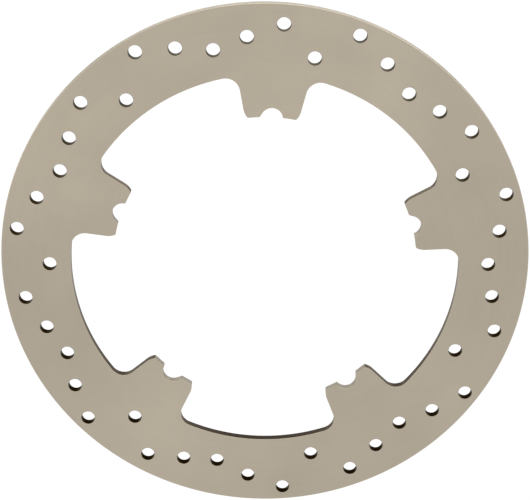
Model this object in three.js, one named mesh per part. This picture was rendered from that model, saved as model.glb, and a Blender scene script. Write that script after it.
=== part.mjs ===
// A motorcycle front brake disc: one flat stainless ring, drilled for cooling, with five inward tabs.
// Each tab ends in a half-round notch that a wheel's drive pin sits in. The disc is a single piece of metal.
//
// Millimetres. The origin is the disc's centre, halfway through its thickness. The axle runs along Y,
// +Z is up and the outboard face looks towards -Y. One tab hangs straight down from the top of the ring.

import * as THREE from "three";

// ---- driving dimensions ----
const OUTER_RADIUS = 150;
const THICKNESS = 5.2;
const RING_INNER_RADIUS = 110.5;
const EDGE_BREAK = 0.3; // chamfer on every edge of both faces

const TAB_COUNT = 5;
const TAB_TIP_RADIUS = 86.4; // the turned bore that ends the tabs
const TAB_TIP_HALF_WIDTH = 15.1; // where a tab's straight flank would meet the tip radius
const FLANK_ANGLE = 12.6; // degrees between a flank and the tab's centreline
const ROOT_FILLET = 8; // concave, flank to ring
const CORNER_RADIUS = 10; // convex, flank to tip, cut short by the bore
const CORNER_START = 3.8; // how far above the tip radius that corner leaves the flank

const NOTCH_RADIUS = 6.1;
const NOTCH_CENTRE_RADIUS = 85.5; // the circle that the drive pins stand on
const FLARE_START = 58; // degrees round from a notch's crown to where its flared side runs on straight

const HOLE_RADIUS = 3.9;
const HOLE_GROUP_RADII = [122.6, 138.75, 131.7, 127.2, 134.2, 141.85]; // one group, anticlockwise
const HOLE_GROUPS = 7;
const TAB_ON_HOLE = 2; // a group's first hole lies on the centreline of the tab this many on from the top

// ---- how finely round stretches are stepped ----
const RIM_STEPS = 180;
const HOLE_STEPS = 16;
const SMALL_ARC_STEP = 1.7; // mm along a notch, corner or fillet
const LARGE_ARC_STEP = 4.5; // mm along the ring's inner edge or a tab's tip

const QUARTER_TURN = Math.PI / 2; // also the top of the drawing
const TAB_PITCH = (2 * Math.PI) / TAB_COUNT;

const point = (x, y) => new THREE.Vector2(x, y);
const polar = (radius, angle) => point(radius * Math.cos(angle), radius * Math.sin(angle));

// Points along an arc about centre, from one point to another that lies on the same circle, the short way.
function arc(centre, from, to, step) {
  const radius = from.distanceTo(centre);
  const start = from.clone().sub(centre).angle();
  let sweep = to.clone().sub(centre).angle() - start;
  sweep -= 2 * Math.PI * Math.round(sweep / (2 * Math.PI));
  const count = Math.max(2, Math.ceil((radius * Math.abs(sweep)) / step));
  return Array.from({ length: count + 1 }, (_, i) =>
    polar(radius, start + (sweep * i) / count).add(centre),
  );
}

// Distance along unit direction from origin to where the line leaves a circle about (0, 0). It's negative
// where that lies behind the origin.
function distanceToCircle(origin, direction, radius) {
  const along = origin.dot(direction);
  return -along + Math.sqrt(along ** 2 - origin.lengthSq() + radius ** 2);
}

// Where two circles cross, on the left of the way from the first centre to the second.
function circlesCross(centreA, radiusA, centreB, radiusB) {
  const gap = centreB.clone().sub(centreA);
  const distance = gap.length();
  const along = (radiusA ** 2 - radiusB ** 2 + distance ** 2) / (2 * distance);
  const aside = Math.sqrt(radiusA ** 2 - along ** 2);
  gap.normalize();
  return point(
    centreA.x + gap.x * along - gap.y * aside,
    centreA.y + gap.y * along + gap.x * aside,
  );
}

// The notch's wall on the right of x = 0, from its crown down to the tip. The plain side is round all the
// way, and the flared one runs on straight.
function notchWall(flared) {
  const centre = point(0, NOTCH_CENTRE_RADIUS);
  const crown = point(0, NOTCH_CENTRE_RADIUS + NOTCH_RADIUS);
  if (!flared) {
    const mouth = circlesCross(centre, NOTCH_RADIUS, point(0, 0), TAB_TIP_RADIUS);
    return arc(centre, crown, mouth, SMALL_ARC_STEP);
  }
  const flareStart = crown.clone().rotateAround(centre, -THREE.MathUtils.degToRad(FLARE_START));
  const towardsCrown = flareStart.clone().sub(centre).normalize().rotateAround(point(0, 0), QUARTER_TURN);
  const mouth = flareStart
    .clone()
    .addScaledVector(towardsCrown, distanceToCircle(flareStart, towardsCrown, TAB_TIP_RADIUS));
  return [...arc(centre, crown, flareStart, SMALL_ARC_STEP), mouth];
}

// The right half of a tab that hangs from the top of the ring, from the notch's crown out to the ring's
// inner edge. Its centreline is x = 0.
function halfTab(flared) {
  const axis = point(0, 0);
  const slope = THREE.MathUtils.degToRad(FLANK_ANGLE);
  const upFlank = point(Math.sin(slope), Math.cos(slope));
  const outward = point(Math.cos(slope), -Math.sin(slope));
  const flankFoot = point(TAB_TIP_HALF_WIDTH, TAB_TIP_RADIUS);

  const notch = notchWall(flared);
  const cornerEnd = flankFoot.clone().addScaledVector(upFlank, CORNER_START);
  const cornerCentre = cornerEnd.clone().addScaledVector(outward, -CORNER_RADIUS);
  const tipCorner = circlesCross(cornerCentre, CORNER_RADIUS, axis, TAB_TIP_RADIUS);

  const offsetFoot = flankFoot.clone().addScaledVector(outward, ROOT_FILLET);
  const filletCentre = offsetFoot.addScaledVector(
    upFlank,
    distanceToCircle(offsetFoot, upFlank, RING_INNER_RADIUS - ROOT_FILLET),
  );
  const filletStart = filletCentre.clone().addScaledVector(outward, -ROOT_FILLET);
  const filletEnd = filletCentre.clone().setLength(RING_INNER_RADIUS);

  return [
    ...notch,
    ...arc(axis, notch.at(-1), tipCorner, LARGE_ARC_STEP).slice(1),
    ...arc(cornerCentre, tipCorner, cornerEnd, SMALL_ARC_STEP).slice(1),
    ...arc(filletCentre, filletStart, filletEnd, SMALL_ARC_STEP),
  ];
}

// The whole inner edge, clockwise from the top tab's crown: the half tab, the ring's bore up to the next
// tab, that tab's other half with the flare, and so on round.
function innerEdge() {
  const axis = point(0, 0);
  const right = halfTab(false);
  const left = halfTab(true)
    .map(({ x, y }) => point(-x, y))
    .reverse();
  const boreStart = right.at(-1);
  const boreEnd = left[0].clone().rotateAround(axis, -TAB_PITCH);
  const bore = arc(axis, boreStart, boreEnd, LARGE_ARC_STEP).slice(1, -1);
  const nextLeft = left.map((p) => p.clone().rotateAround(axis, -TAB_PITCH));
  const sector = [...right, ...bore, ...nextLeft.slice(0, -1)];
  return Array.from({ length: TAB_COUNT }, (_, tab) =>
    sector.map((p) => p.clone().rotateAround(axis, -tab * TAB_PITCH)),
  ).flat();
}

function circle(centre, radius, steps) {
  return Array.from({ length: steps }, (_, i) => polar(radius, (2 * Math.PI * i) / steps).add(centre));
}

// The centres of the drilled holes: evenly spaced round the disc, stepping in and out in equal groups.
function holeCentres() {
  const count = HOLE_GROUPS * HOLE_GROUP_RADII.length;
  const start = QUARTER_TURN + TAB_ON_HOLE * TAB_PITCH;
  return Array.from({ length: count }, (_, i) =>
    polar(HOLE_GROUP_RADII[i % HOLE_GROUP_RADII.length], start + (2 * Math.PI * i) / count),
  );
}

function discGeometry() {
  const outline = new THREE.Shape(circle(point(0, 0), OUTER_RADIUS, RIM_STEPS));
  outline.holes = [
    new THREE.Path(innerEdge()),
    ...holeCentres().map((centre) => new THREE.Path(circle(centre, HOLE_RADIUS, HOLE_STEPS))),
  ];
  const geometry = new THREE.ExtrudeGeometry(outline, {
    depth: THICKNESS - 2 * EDGE_BREAK,
    bevelEnabled: true,
    bevelThickness: EDGE_BREAK,
    bevelSize: EDGE_BREAK,
    bevelOffset: -EDGE_BREAK,
    bevelSegments: 1,
  });
  geometry.translate(0, 0, EDGE_BREAK - THICKNESS / 2);
  return geometry;
}

const groundStainless = new THREE.MeshStandardMaterial({
  color: 0xb1a796,
  roughness: 0.45,
  metalness: 0.9,
});

const rotorDisc = new THREE.Mesh(discGeometry(), groundStainless);
rotorDisc.name = "rotor_disc";
rotorDisc.rotation.x = QUARTER_TURN; // the drawn face looks towards -Y, and the drawing's up is +Z

const brakeDiscRotor = new THREE.Group();
brakeDiscRotor.add(rotorDisc);

export default brakeDiscRotor;
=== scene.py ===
import cmath
import math

import bpy
import numpy as np
from mathutils import Matrix, Vector, kdtree
from mathutils.geometry import delaunay_2d_cdt


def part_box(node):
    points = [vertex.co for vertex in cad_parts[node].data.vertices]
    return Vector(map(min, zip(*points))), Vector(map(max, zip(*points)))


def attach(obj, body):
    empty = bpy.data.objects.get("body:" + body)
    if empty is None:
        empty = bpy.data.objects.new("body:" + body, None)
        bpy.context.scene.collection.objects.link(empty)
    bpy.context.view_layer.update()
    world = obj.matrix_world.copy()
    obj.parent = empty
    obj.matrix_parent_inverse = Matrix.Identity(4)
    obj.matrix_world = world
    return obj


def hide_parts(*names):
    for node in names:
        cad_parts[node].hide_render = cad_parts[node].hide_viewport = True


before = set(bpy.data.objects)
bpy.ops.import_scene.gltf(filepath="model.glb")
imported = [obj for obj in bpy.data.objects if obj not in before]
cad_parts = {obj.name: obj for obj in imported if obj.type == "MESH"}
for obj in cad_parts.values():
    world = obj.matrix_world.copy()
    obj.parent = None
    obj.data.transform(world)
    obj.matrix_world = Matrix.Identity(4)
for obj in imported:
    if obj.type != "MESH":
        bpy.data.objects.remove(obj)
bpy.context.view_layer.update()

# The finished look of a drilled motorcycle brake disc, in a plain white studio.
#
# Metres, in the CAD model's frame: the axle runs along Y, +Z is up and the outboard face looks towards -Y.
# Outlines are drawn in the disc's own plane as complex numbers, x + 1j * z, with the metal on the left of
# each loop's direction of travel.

MM = 0.001

# ---- the plate ----
disc_low, disc_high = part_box("rotor_disc")
OUTER_RADIUS = (disc_high.x - disc_low.x) / 2
HALF_THICKNESS = (disc_high.y - disc_low.y) / 2
RING_INNER_RADIUS = 110.5 * MM
RING_MIDDLE_RADIUS = (OUTER_RADIUS + RING_INNER_RADIUS) / 2

TAB_COUNT = 5
TAB_PITCH = 2 * math.pi / TAB_COUNT
TAB_TIP_RADIUS = 86.4 * MM
TAB_TIP_HALF_WIDTH = 15.1 * MM
FLANK_ANGLE = math.radians(12.6)
ROOT_FILLET = 8 * MM
CORNER_RADIUS = 10 * MM
CORNER_START = 3.8 * MM  # how far up its flank a tab's rounded tip corner reaches
NOTCH_RADIUS = 6.1 * MM
NOTCH_CENTRE_RADIUS = 85.5 * MM
FLARE_START = math.radians(58)  # from a notch's crown round to where its flared side runs on straight

HOLE_RADIUS = 3.9 * MM
HOLE_GROUP_RADII = [radius * MM for radius in (122.6, 138.75, 131.7, 127.2, 134.2, 141.85)]
HOLE_GROUPS = 7
TAB_ON_HOLE = 2  # the tab, counted anticlockwise from the top one, whose centreline meets a hole

RIM_BREAK = 0.45 * MM  # radius that the edges of the two faces are eased to round the outside,
PROFILE_BREAK = 0.15 * MM  # round the inner edge and the tabs,
HOLE_BREAK = 0.12 * MM  # and round each hole
CORNER_EASE = 0.35 * MM  # radius that the sharp corners of the tabs' outline are eased to

# ---- how finely the surface is stepped ----
RIM_STEPS = 720
HOLE_STEPS = 56
OUTLINE_STEP = 0.6 * MM
CORNER_STEP = 0.1 * MM
EASE_STEPS = 4
FACE_GRID = 3 * MM
GRID_CLEARANCE = 0.6 * FACE_GRID
SAME_POINT_MM = 1e-6


# ======== outlines ========

def arc(centre, start, end, step=OUTLINE_STEP):
    """Points from start to end along the circle about centre, the short way, with both ends."""
    spoke = start - centre
    sweep = cmath.phase((end - centre) / spoke)
    count = max(2, math.ceil(abs(spoke * sweep) / step))
    return [centre + spoke * cmath.rect(1, sweep * i / count) for i in range(count + 1)]


def line(start, end, step=OUTLINE_STEP):
    """Points strictly between start and end."""
    count = max(1, math.ceil(abs(end - start) / step))
    return [start + (end - start) * i / count for i in range(1, count)]


def circles_cross(centre_a, radius_a, centre_b, radius_b):
    """Where two circles cross, on the left of the way from the first centre to the second."""
    gap = centre_b - centre_a
    along = (radius_a**2 - radius_b**2 + abs(gap) ** 2) / (2 * abs(gap))
    aside = math.sqrt(radius_a**2 - along**2)
    return centre_a + gap / abs(gap) * complex(along, aside)


def towards(start, end, distance):
    """The point that far from start on the line through end."""
    return start + (end - start) / abs(end - start) * distance


def leave_circle(start, direction, radius):
    """Where the line through start in that unit direction leaves the circle about the disc's centre."""
    along = (start * direction.conjugate()).real
    return start + direction * (math.sqrt(along**2 - abs(start) ** 2 + radius**2) - along)


def notch_wall(flared):
    """The notch's right side, from its crown down and round the eased corner at its mouth."""
    notch = 1j * NOTCH_CENTRE_RADIUS
    crown = notch + 1j * NOTCH_RADIUS
    eased_tip = TAB_TIP_RADIUS + CORNER_EASE
    if flared:
        aside = cmath.rect(1, math.pi / 2 - FLARE_START)
        flare_start = notch + aside * NOTCH_RADIUS
        mouth_ease = leave_circle(flare_start + aside * CORNER_EASE, 1j * aside, eased_tip)
        notch_end = mouth_ease - aside * CORNER_EASE
        wall = [*arc(notch, crown, flare_start), *line(flare_start, notch_end)]
    else:
        mouth_ease = circles_cross(notch, NOTCH_RADIUS + CORNER_EASE, 0, eased_tip)
        notch_end = towards(notch, mouth_ease, NOTCH_RADIUS)
        wall = arc(notch, crown, notch_end)[:-1]
    return wall + arc(mouth_ease, notch_end, towards(0, mouth_ease, TAB_TIP_RADIUS), CORNER_STEP)


def half_tab(flared):
    """The right half of the top tab, from its notch's crown out to the ring's inner edge."""
    up_flank = cmath.rect(1, math.pi / 2 - FLANK_ANGLE)
    outward = -1j * up_flank
    flank_foot = complex(TAB_TIP_HALF_WIDTH, TAB_TIP_RADIUS)
    notch = notch_wall(flared)

    corner_end = flank_foot + up_flank * CORNER_START
    corner = corner_end - outward * CORNER_RADIUS
    tip_ease = circles_cross(corner, CORNER_RADIUS - CORNER_EASE, 0, TAB_TIP_RADIUS + CORNER_EASE)
    tip_end = towards(0, tip_ease, TAB_TIP_RADIUS)
    corner_start = towards(corner, tip_ease, CORNER_RADIUS)

    fillet = leave_circle(flank_foot + outward * ROOT_FILLET, up_flank, RING_INNER_RADIUS - ROOT_FILLET)
    fillet_start = fillet - outward * ROOT_FILLET
    fillet_end = towards(0, fillet, RING_INNER_RADIUS)

    return [
        *notch,
        *arc(0, notch[-1], tip_end)[1:],
        *arc(tip_ease, tip_end, corner_start, CORNER_STEP)[1:],
        *arc(corner, corner_start, corner_end)[1:],
        *line(corner_end, fillet_start),
        *arc(fillet, fillet_start, fillet_end),
    ]


def inner_edge():
    """The tabs and the ring's inner edge, clockwise from the top tab's crown. Left sides are flared."""
    turn = cmath.rect(1, -TAB_PITCH)
    right = half_tab(flared=False)
    next_left = [-point.conjugate() * turn for point in reversed(half_tab(flared=True))]
    sector = [*right, *arc(0, right[-1], next_left[0])[1:-1], *next_left[:-1]]
    return np.array([point * turn**tab for tab in range(TAB_COUNT) for point in sector])


def hole_centres():
    count = HOLE_GROUPS * len(HOLE_GROUP_RADII)
    start = math.pi / 2 + TAB_ON_HOLE * TAB_PITCH
    return [
        cmath.rect(HOLE_GROUP_RADII[i % len(HOLE_GROUP_RADII)], start + 2 * math.pi * i / count)
        for i in range(count)
    ]


def circle(centre, radius, steps, direction):
    """direction is 1 for anticlockwise and -1 for clockwise."""
    return centre + radius * np.exp(direction * 2j * math.pi * np.arange(steps) / steps)


def is_machined(point):
    """True on a tab's tip or in its notch, which are machined after the rest of the profile is cut."""
    from_top = cmath.phase(point) - math.pi / 2
    on_top_tab = point * cmath.rect(1, -round(from_top / TAB_PITCH) * TAB_PITCH)
    in_notch = abs(on_top_tab.real) < TAB_TIP_HALF_WIDTH / 2
    return in_notch or abs(point) < TAB_TIP_RADIUS + CORNER_EASE / 2


# ======== the mesh ========

FINISHES = ["ground_face", "eased_edge_painted_highlight", "turned_rim", "cut_profile", "machined_tip", "drilled_wall"]
FACE, EDGE, RIM, PROFILE, TIP, DRILLED = range(len(FINISHES))


def edge_section(ease):
    """From the outboard face to the inboard one: how far in from the wall, y, and the normal's lean."""
    quarter = [math.pi / 2 * i / EASE_STEPS for i in range(EASE_STEPS + 1)]
    outboard = [
        (
            ease * (1 - math.sin(lean)),
            ease * (1 - math.cos(lean)) - HALF_THICKNESS,
            (math.sin(lean), -math.cos(lean)),
        )
        for lean in quarter
    ]
    inboard = [(inset, -y, (out, -along)) for inset, y, (out, along) in reversed(outboard)]
    return outboard + inboard


def outward(loop):
    """At each point of a loop, the mitred offset that moves it out of the metal by 1."""
    ahead = np.roll(loop, -1) - loop
    normal = -1j * ahead / abs(ahead)
    before = np.roll(normal, 1)
    return (normal + before) / (1 + (normal * before.conj()).real)


def inside(points, loop):
    """True for each point that a closed loop goes round."""
    found = np.zeros(len(points), bool)
    for a, b in zip(loop, np.roll(loop, -1)):
        if a.imag != b.imag:
            crosses = (a.imag > points.imag) != (b.imag > points.imag)
            slope = (b.real - a.real) / (b.imag - a.imag)
            found ^= crosses & (points.real < a.real + (points.imag - a.imag) * slope)
    return found


def on_metal(points, openings):
    return ~np.any([inside(points, loop) for loop in openings], axis=0)


def face_grid(flat_loops):
    """Points spread evenly over the flat faces, clear of every edge."""
    rim, *openings = flat_loops
    rows = np.arange(-OUTER_RADIUS, OUTER_RADIUS, FACE_GRID * math.sqrt(3) / 2)
    columns = np.arange(-OUTER_RADIUS, OUTER_RADIUS, FACE_GRID)
    grid = np.array([x + (i % 2) * FACE_GRID / 2 + 1j * z for i, z in enumerate(rows) for x in columns])
    grid = grid[inside(grid, rim)]
    grid = grid[on_metal(grid, openings)]
    edge_points = np.concatenate(flat_loops)
    tree = kdtree.KDTree(len(edge_points))
    for i, point in enumerate(edge_points):
        tree.insert((point.real, 0, point.imag), i)
    tree.balance()
    return [p for p in grid if tree.find((p.real, 0, p.imag))[2] > GRID_CLEARANCE]


def triangulate(flat_loops):
    """Points and triangles of one flat face. The loops' own points come first, in order."""
    points = np.concatenate([*flat_loops, face_grid(flat_loops)])
    edges = []
    first = 0
    for loop in flat_loops:
        edges += [(first + i, first + (i + 1) % len(loop)) for i in range(len(loop))]
        first += len(loop)
    in_mm = [Vector((p.real / MM, p.imag / MM)) for p in points]
    made, _, triangles, *_ = delaunay_2d_cdt(in_mm, edges, [], 0, SAME_POINT_MM)
    if len(made) != len(points):
        raise ValueError("two points of the face's outline fell together")
    triangles = np.array([tuple(t) for t in triangles])
    return points, triangles[on_metal(points[triangles].mean(axis=1), flat_loops[1:])]


def strip_finish(wall, strip, point):
    """The finish of a wall's strip, counted from the outboard face, at that point of the outline."""
    if wall == DRILLED:
        return DRILLED
    if strip != EASE_STEPS:
        return EDGE
    return TIP if wall == PROFILE and is_machined(point) else wall


def build_disc():
    """The whole plate as one closed mesh, with exact normals and one material index per face."""
    holes = [circle(centre, HOLE_RADIUS, HOLE_STEPS, -1) for centre in hole_centres()]
    loops = [circle(0, OUTER_RADIUS, RIM_STEPS, 1), inner_edge(), *holes]
    walls = [RIM, PROFILE] + [DRILLED] * len(holes)
    offsets = [outward(loop) for loop in loops]
    eases = [RIM_BREAK, PROFILE_BREAK] + [HOLE_BREAK] * len(holes)

    flat_loops = [loop - offset * ease for loop, offset, ease in zip(loops, offsets, eases)]
    flat, triangles = triangulate(flat_loops)
    sides = ((-HALF_THICKNESS, -1), (HALF_THICKNESS, 1))
    places = [(p.real, y, p.imag) for y, _ in sides for p in flat]
    normals = [(0, side, 0) for _, side in sides for _ in flat]
    outboard = triangles.tolist()
    inboard = (triangles[:, ::-1] + len(flat)).tolist()
    faces = outboard + inboard
    finishes = [FACE] * len(faces)

    first = 0
    for loop, wall, offset, ease in zip(loops, walls, offsets, eases):
        count = len(loop)
        rings = [range(first, first + count)]
        for inset, y, (out, along) in edge_section(ease)[1:-1]:
            rings.append(range(len(places), len(places) + count))
            for p, direction in zip(loop - offset * inset, offset / abs(offset)):
                places.append((p.real, y, p.imag))
                normals.append((direction.real * out, along, direction.imag * out))
        rings.append(range(len(flat) + first, len(flat) + first + count))
        for strip in range(len(rings) - 1):
            front, back = rings[strip], rings[strip + 1]
            for i in range(count):
                j = (i + 1) % count
                faces.append((front[i], back[i], back[j], front[j]))
                finishes.append(strip_finish(wall, strip, (loop[i] + loop[j]) / 2))
        first += count

    mesh = bpy.data.meshes.new("brake_disc")
    mesh.from_pydata(places, [], faces)
    mesh.polygons.foreach_set("use_smooth", [True] * len(faces))
    mesh.polygons.foreach_set("material_index", finishes)
    mesh.normals_split_custom_set_from_vertices(normals)
    disc = bpy.data.objects.new("brake_disc", mesh)
    bpy.context.scene.collection.objects.link(disc)
    return disc


# ======== materials ========

STAINLESS = (0.413, 0.363, 0.287)  # warm grey that the ground faces reflect
DULL_STAINLESS = (0.268, 0.231, 0.177)
CUT_SCALE = (0.018, 0.012, 0.009)
# painted shade: the nearly black colour of the holes' walls
HOLE_SHADE = (0.0095, 0.0085, 0.0085)

NOISE_MIDDLE = (0.3, 0.7)  # the part of a noise texture's values that a pattern uses
MIX_A, MIX_B, MIX_RESULT = 6, 7, 2  # a Mix node's colour sockets, whose names it uses more than once
QUARTER_TURN = 0.25


def set_input(tree, socket, value):
    """Gives a node's input a value, or links another node's output to it."""
    if isinstance(value, bpy.types.NodeSocket):
        tree.links.new(value, socket)
    else:
        socket.default_value = value


def shade(colour, amount):
    """A colour made lighter or darker, with the alpha that a colour socket takes."""
    return (*(channel * amount for channel in colour), 1)


class Surface:
    """A metal's node tree, with short ways to add to it. Lengths in it are in millimetres."""

    def __init__(self, name):
        self.material = bpy.data.materials.new(name)
        self.material.use_nodes = True
        self.tree = self.material.node_tree
        self.shader = self.tree.nodes["Principled BSDF"]
        self.shader.inputs["Metallic"].default_value = 1.0
        place = self.add("ShaderNodeTexCoord").outputs["Object"]
        self.place = self.vector("SCALE", place, Scale=1 / MM)
        parts = self.add("ShaderNodeSeparateXYZ", Vector=self.place)
        self.along = parts.outputs["Y"]
        flat = self.add("ShaderNodeCombineXYZ", X=parts.outputs["X"], Z=parts.outputs["Z"]).outputs[0]
        self.radius = self.add("ShaderNodeVectorMath", {"operation": "LENGTH"}, flat).outputs["Value"]
        self.direction = self.vector("NORMALIZE", flat)

    def add(self, kind, settings=None, *numbered, **named):
        """A new node, with its inputs by number or name."""
        node = self.tree.nodes.new(kind)
        for key, value in (settings or {}).items():
            setattr(node, key, value)
        for key, value in [*enumerate(numbered), *named.items()]:
            set_input(self.tree, node.inputs[key], value)
        return node

    def vector(self, operation, *numbered, **named):
        node = self.add("ShaderNodeVectorMath", {"operation": operation}, *numbered, **named)
        return node.outputs["Vector"]

    def maths(self, operation, *numbered):
        return self.add("ShaderNodeMath", {"operation": operation}, *numbered).outputs[0]

    def blotches(self, size, detail, seed):
        """Soft noise from 0 to 1 with features that many millimetres across."""
        noise = self.add(
            "ShaderNodeTexNoise", {"noise_dimensions": "4D"},
            Vector=self.place, W=seed, Scale=1 / size, Detail=detail,
        )
        return noise.outputs["Fac"]

    def rings(self, width, length, detail, seed=0.0):
        """Noise drawn out round the axle, from 0 to 1: width across the lines and length along them."""
        return self.drawn_out(self.radius, width, length, detail, seed)

    def lines_round_wall(self, width, length, detail, seed):
        """The same on a wall that runs along the axle, where the lines lie beside each other in Y."""
        return self.drawn_out(self.along, width, length, detail, seed)

    def drawn_out(self, across, width, length, detail, seed):
        spread = self.vector("SCALE", self.direction, Scale=RING_MIDDLE_RADIUS / MM / length)
        shifted = self.vector("ADD", spread, (0, seed, 0))
        noise = self.add(
            "ShaderNodeTexNoise", {"noise_dimensions": "4D"},
            Vector=shifted, W=self.maths("DIVIDE", across, width), Scale=1.0, Detail=detail,
        )
        return noise.outputs["Fac"]

    def blend(self, parts):
        """The weighted mean of some 0 to 1 patterns, from a list of (pattern, weight)."""
        total = 0.0
        for pattern, weight in parts:
            total = self.maths("MULTIPLY_ADD", pattern, weight, total)
        return self.maths("DIVIDE", total, sum(weight for _, weight in parts))

    def ranged(self, pattern, low, high):
        """The middle part of the pattern's values, stretched over low to high."""
        node = self.add("ShaderNodeMapRange", None, pattern, *NOISE_MIDDLE, low, high)
        return node.outputs["Result"]

    def colour(self, pattern, colour, dark, light):
        """The colour, made that much darker or lighter by the pattern."""
        mix = self.add("ShaderNodeMix", {"data_type": "RGBA"}, Factor=self.ranged(pattern, 0.0, 1.0))
        mix.inputs[MIX_A].default_value = shade(colour, dark)
        mix.inputs[MIX_B].default_value = shade(colour, light)
        self.tree.links.new(mix.outputs[MIX_RESULT], self.shader.inputs["Base Color"])

    def roughness(self, pattern, low, high):
        self.tree.links.new(self.ranged(pattern, low, high), self.shader.inputs["Roughness"])

    def relief(self, pattern, depth):
        """Lines or pits this many millimetres deep."""
        bump = self.add("ShaderNodeBump", None, Strength=1.0, Distance=depth * MM, Height=pattern)
        self.tree.links.new(bump.outputs["Normal"], self.shader.inputs["Normal"])

    def glancing(self, tint):
        """How much of the usual glare is left where the metal is seen almost edge-on, and its colour."""
        self.shader.inputs["Specular Tint"].default_value = (*tint, 1)

    def brushed_round_axle(self, amount):
        """Stretches the gloss across lines that run round the axle."""
        tangent = self.add("ShaderNodeTangent", {"direction_type": "RADIAL", "axis": "Y"})
        self.tree.links.new(tangent.outputs[0], self.shader.inputs["Tangent"])
        self.shader.inputs["Anisotropic"].default_value = amount
        self.shader.inputs["Anisotropic Rotation"].default_value = QUARTER_TURN


def ground_face():
    """Both faces: fine grinding round the axle, a few deeper lines, and faint clouds of two sizes. The clouds
    vary the tone and are also painted sheen: broad lighter and darker patches that stand in for reflected
    light.
    """
    surface = Surface("ground_face")
    fine = surface.rings(width=0.22, length=18, detail=3)
    broad = surface.rings(width=2.4, length=60, detail=2, seed=11)
    # The two clouds are partly painted sheen: besides varying the tone, they lighten and darken broad patches
    # of the faces as reflected light would.
    cloud_and_sheen = surface.blotches(size=26, detail=3, seed=12330)
    drift_and_sheen = surface.blotches(size=80, detail=1, seed=6987)
    tone_and_sheen = surface.blend([(fine, 3), (broad, 2), (cloud_and_sheen, 5), (drift_and_sheen, 7)])
    surface.colour(tone_and_sheen, STAINLESS, dark=0.905, light=1.095)
    surface.roughness(surface.blend([(fine, 3), (cloud_and_sheen, 1)]), low=0.34, high=0.44)
    surface.relief(fine, depth=0.0035)
    surface.brushed_round_axle(amount=0.8)
    return surface.material


def eased_edge_painted_highlight():
    """The narrow rounded edges: a painted highlight. Their colour is kept lighter than the faces' to stand in
    for the light they catch, and small blotches vary it, their roughness and their bumps.
    """
    surface = Surface("eased_edge_painted_highlight")
    rub_and_highlight = surface.blotches(size=0.8, detail=3, seed=5)
    # painted highlight: the edges' colour runs from a shade darker to much lighter than the faces'
    surface.colour(rub_and_highlight, STAINLESS, dark=0.98, light=1.16)
    surface.roughness(rub_and_highlight, low=0.32, high=0.44)
    surface.relief(rub_and_highlight, depth=0.004)
    return surface.material


def turned_rim():
    """The outside edge: fine turning lines side by side through the thickness."""
    surface = Surface("turned_rim")
    lines = surface.lines_round_wall(width=0.16, length=40, detail=2, seed=2)
    wear = surface.blotches(size=9, detail=3, seed=8)
    surface.colour(surface.blend([(lines, 2), (wear, 1)]), STAINLESS, dark=0.90, light=1.04)
    surface.roughness(lines, low=0.30, high=0.42)
    surface.relief(lines, depth=0.005)
    surface.glancing((0.70, 0.70, 0.68))
    return surface.material


def cut_profile():
    """The ring's inner edge and the tabs' flanks: a dark scale left by the cut, with ragged lines along Y."""
    surface = Surface("cut_profile")
    lines_per_mm, breaks_per_mm = 2.2, 0.25
    drawn_along_y = surface.vector("MULTIPLY", surface.place, (lines_per_mm, breaks_per_mm, lines_per_mm))
    noise = surface.add("ShaderNodeTexNoise", None, Vector=drawn_along_y, Scale=1.0, Detail=4.0)
    drag = noise.outputs["Fac"]
    scale = surface.blotches(size=4, detail=3, seed=6)
    pattern = surface.blend([(drag, 2), (scale, 1)])
    surface.colour(pattern, CUT_SCALE, dark=0.60, light=1.40)
    surface.roughness(pattern, low=0.22, high=0.36)
    surface.relief(drag, depth=0.03)
    surface.glancing((0.80, 0.75, 0.68))
    return surface.material


def machined_tip():
    """The tabs' tips and notches: cutter marks through the thickness, a little duller than the faces."""
    surface = Surface("machined_tip")
    lines = surface.lines_round_wall(width=0.2, length=12, detail=2, seed=4)
    stain = surface.blotches(size=3, detail=3, seed=9)
    surface.colour(surface.blend([(lines, 2), (stain, 1)]), DULL_STAINLESS, dark=0.86, light=1.14)
    surface.roughness(lines, low=0.38, high=0.50)
    surface.relief(lines, depth=0.006)
    return surface.material


def drilled_wall():
    """Inside the holes: a painted shade. The walls are coloured nearly black to stand in for the dimness
    inside the holes, with the drill's feed marks round the wall.
    """
    surface = Surface("drilled_wall")
    feed = surface.lines_round_wall(width=0.25, length=6, detail=2, seed=7)
    shade_blotches = surface.blotches(size=2.5, detail=2, seed=1)
    # painted shade, blotched and mixed with the feed marks
    surface.colour(surface.blend([(feed, 1), (shade_blotches, 1)]), HOLE_SHADE, dark=0.6, light=1.4)
    surface.roughness(feed, low=0.22, high=0.36)
    surface.relief(feed, depth=0.01)
    surface.glancing((0.49, 0.463, 0.42))
    return surface.material


# ======== the studio ========

FLOOR_RADIUS = 5.0
FLOOR_STEPS = 96
FLOOR_GLOW = 1.04

# The sky's brightness, and the parts of the unit direction between which it changes: Z upwards, Y backwards.
SKY_HORIZON = 0.7
SKY_BAND = 2.5
SKY_BESIDE_BAND = 0.8
SKY_ABOVE_BAND = 0.7
SKY_IN_FRONT = 1.32
SKY_OVERHEAD = 1.8
BAND_GROWS_UP = (0.0, 0.16)
BAND_FADES_UP = (0.22, 0.46)
BAND_GROWS_BACK = (0.75, 0.97)
BACK_TO_FRONT = (0.3, -0.3)
OVERHEAD_GROWS_UP = (0.8, 1.0)

# Each softbox is a round lamp that faces the disc's centre: its compass angle from straight in front,
# positive to the right, its angle above the horizon, both in degrees, and its brightness.
SOFTBOX_SIZE = 0.55
SOFTBOX_DISTANCE = 1.3
SOFTBOXES = {"low_left": (-60, 8, 2.6), "high_right": (60, 45, 3.5)}


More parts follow.
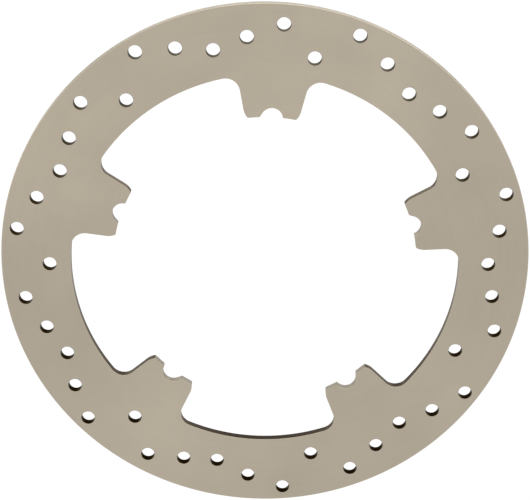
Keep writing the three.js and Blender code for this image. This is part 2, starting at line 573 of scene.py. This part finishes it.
def emitting(name, strength):
    material = bpy.data.materials.new(name)
    material.use_nodes = True
    tree = material.node_tree
    tree.nodes.clear()
    glow = tree.nodes.new("ShaderNodeEmission")
    glow.inputs["Strength"].default_value = strength
    output = tree.nodes.new("ShaderNodeOutputMaterial")
    tree.links.new(glow.outputs[0], output.inputs["Surface"])
    return material


def build_floor():
    """A round white light table under the disc's rim. Its glow drowns the disc's shadow."""
    mesh = bpy.data.meshes.new("floor")
    ring = circle(0, FLOOR_RADIUS, FLOOR_STEPS, 1)
    mesh.from_pydata([(p.real, p.imag, disc_low.z) for p in ring], [], [list(range(FLOOR_STEPS))])
    mesh.materials.append(emitting("light_table", FLOOR_GLOW))
    floor = bpy.data.objects.new("floor", mesh)
    bpy.context.scene.collection.objects.link(floor)
    return floor


def build_sky():
    """White all round, with a bright band above the horizon behind the disc, and brighter overhead."""
    world = bpy.data.worlds.new("studio")
    world.use_nodes = True
    bpy.context.scene.world = world
    tree = world.node_tree
    parts = tree.nodes.new("ShaderNodeSeparateXYZ")
    tree.links.new(tree.nodes.new("ShaderNodeTexCoord").outputs["Generated"], parts.inputs[0])

    def ramp(axis, start, end, low, high):
        """From low to high, as that part of the direction goes from start to end."""
        node = tree.nodes.new("ShaderNodeMapRange")
        node.interpolation_type = "SMOOTHSTEP"
        tree.links.new(parts.outputs[axis], node.inputs["Value"])
        for socket, value in zip(node.inputs[1:5], (start, end, low, high)):
            set_input(tree, socket, value)
        return node.outputs["Result"]

    band = ramp("Y", *BAND_GROWS_BACK, SKY_BESIDE_BAND, SKY_BAND)
    low_behind = ramp("Z", *BAND_GROWS_UP, SKY_HORIZON, band)
    behind = ramp("Z", *BAND_FADES_UP, low_behind, SKY_ABOVE_BAND)
    around = ramp("Y", *BACK_TO_FRONT, behind, SKY_IN_FRONT)
    overhead = ramp("Z", *OVERHEAD_GROWS_UP, 0.0, SKY_OVERHEAD)
    total = tree.nodes.new("ShaderNodeMath")
    tree.links.new(around, total.inputs[0])
    tree.links.new(overhead, total.inputs[1])
    tree.links.new(total.outputs[0], tree.nodes["Background"].inputs["Strength"])
    tree.nodes["Background"].inputs["Color"].default_value = (1, 1, 1, 1)


def add_softbox(name, compass, height, brightness):
    compass, height = math.radians(compass), math.radians(height)
    level = math.cos(height)
    place = SOFTBOX_DISTANCE * Vector(
        (level * math.sin(compass), -level * math.cos(compass), math.sin(height))
    )
    lamp = bpy.data.lights.new(name, "AREA")
    lamp.shape = "DISK"
    lamp.size = SOFTBOX_SIZE
    lamp_area = math.pi * (SOFTBOX_SIZE / 2) ** 2
    lamp.energy = math.pi * lamp_area * brightness  # a flat lamp's watts for that radiance
    softbox = bpy.data.objects.new(name, lamp)
    softbox.location = place
    softbox.rotation_euler = (-place).to_track_quat("-Z", "Y").to_euler()
    bpy.context.scene.collection.objects.link(softbox)


# ======== the camera ========

SENSOR_WIDTH = 36.0
LENS = 113.92
CAMERA_PLACE = Vector((-0.01204, -0.89935, 0.32864))
CAMERA_TARGET = Vector((-0.00025, 0.0, 0.00757))
CAMERA_ROLL = math.radians(2.77)


def place_camera():
    data = bpy.data.cameras.new("camera")
    data.sensor_width = SENSOR_WIDTH
    data.lens = LENS
    camera = bpy.data.objects.new("camera", data)
    level = (CAMERA_TARGET - CAMERA_PLACE).to_track_quat("-Z", "Y").to_matrix().to_4x4()
    camera.matrix_world = Matrix.Translation(CAMERA_PLACE) @ level @ Matrix.Rotation(CAMERA_ROLL, 4, "Z")
    bpy.context.scene.collection.objects.link(camera)
    bpy.context.scene.camera = camera


# ======== the scene ========

place_camera()
build_sky()
for name, (compass, height, brightness) in SOFTBOXES.items():
    add_softbox(name, compass, height, brightness)
build_floor()

disc = build_disc()
for make in (ground_face, eased_edge_painted_highlight, turned_rim, cut_profile, machined_tip, drilled_wall):
    disc.data.materials.append(make())
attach(disc, "root")
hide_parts("rotor_disc")

bpy.context.scene.view_settings.view_transform = "Standard"
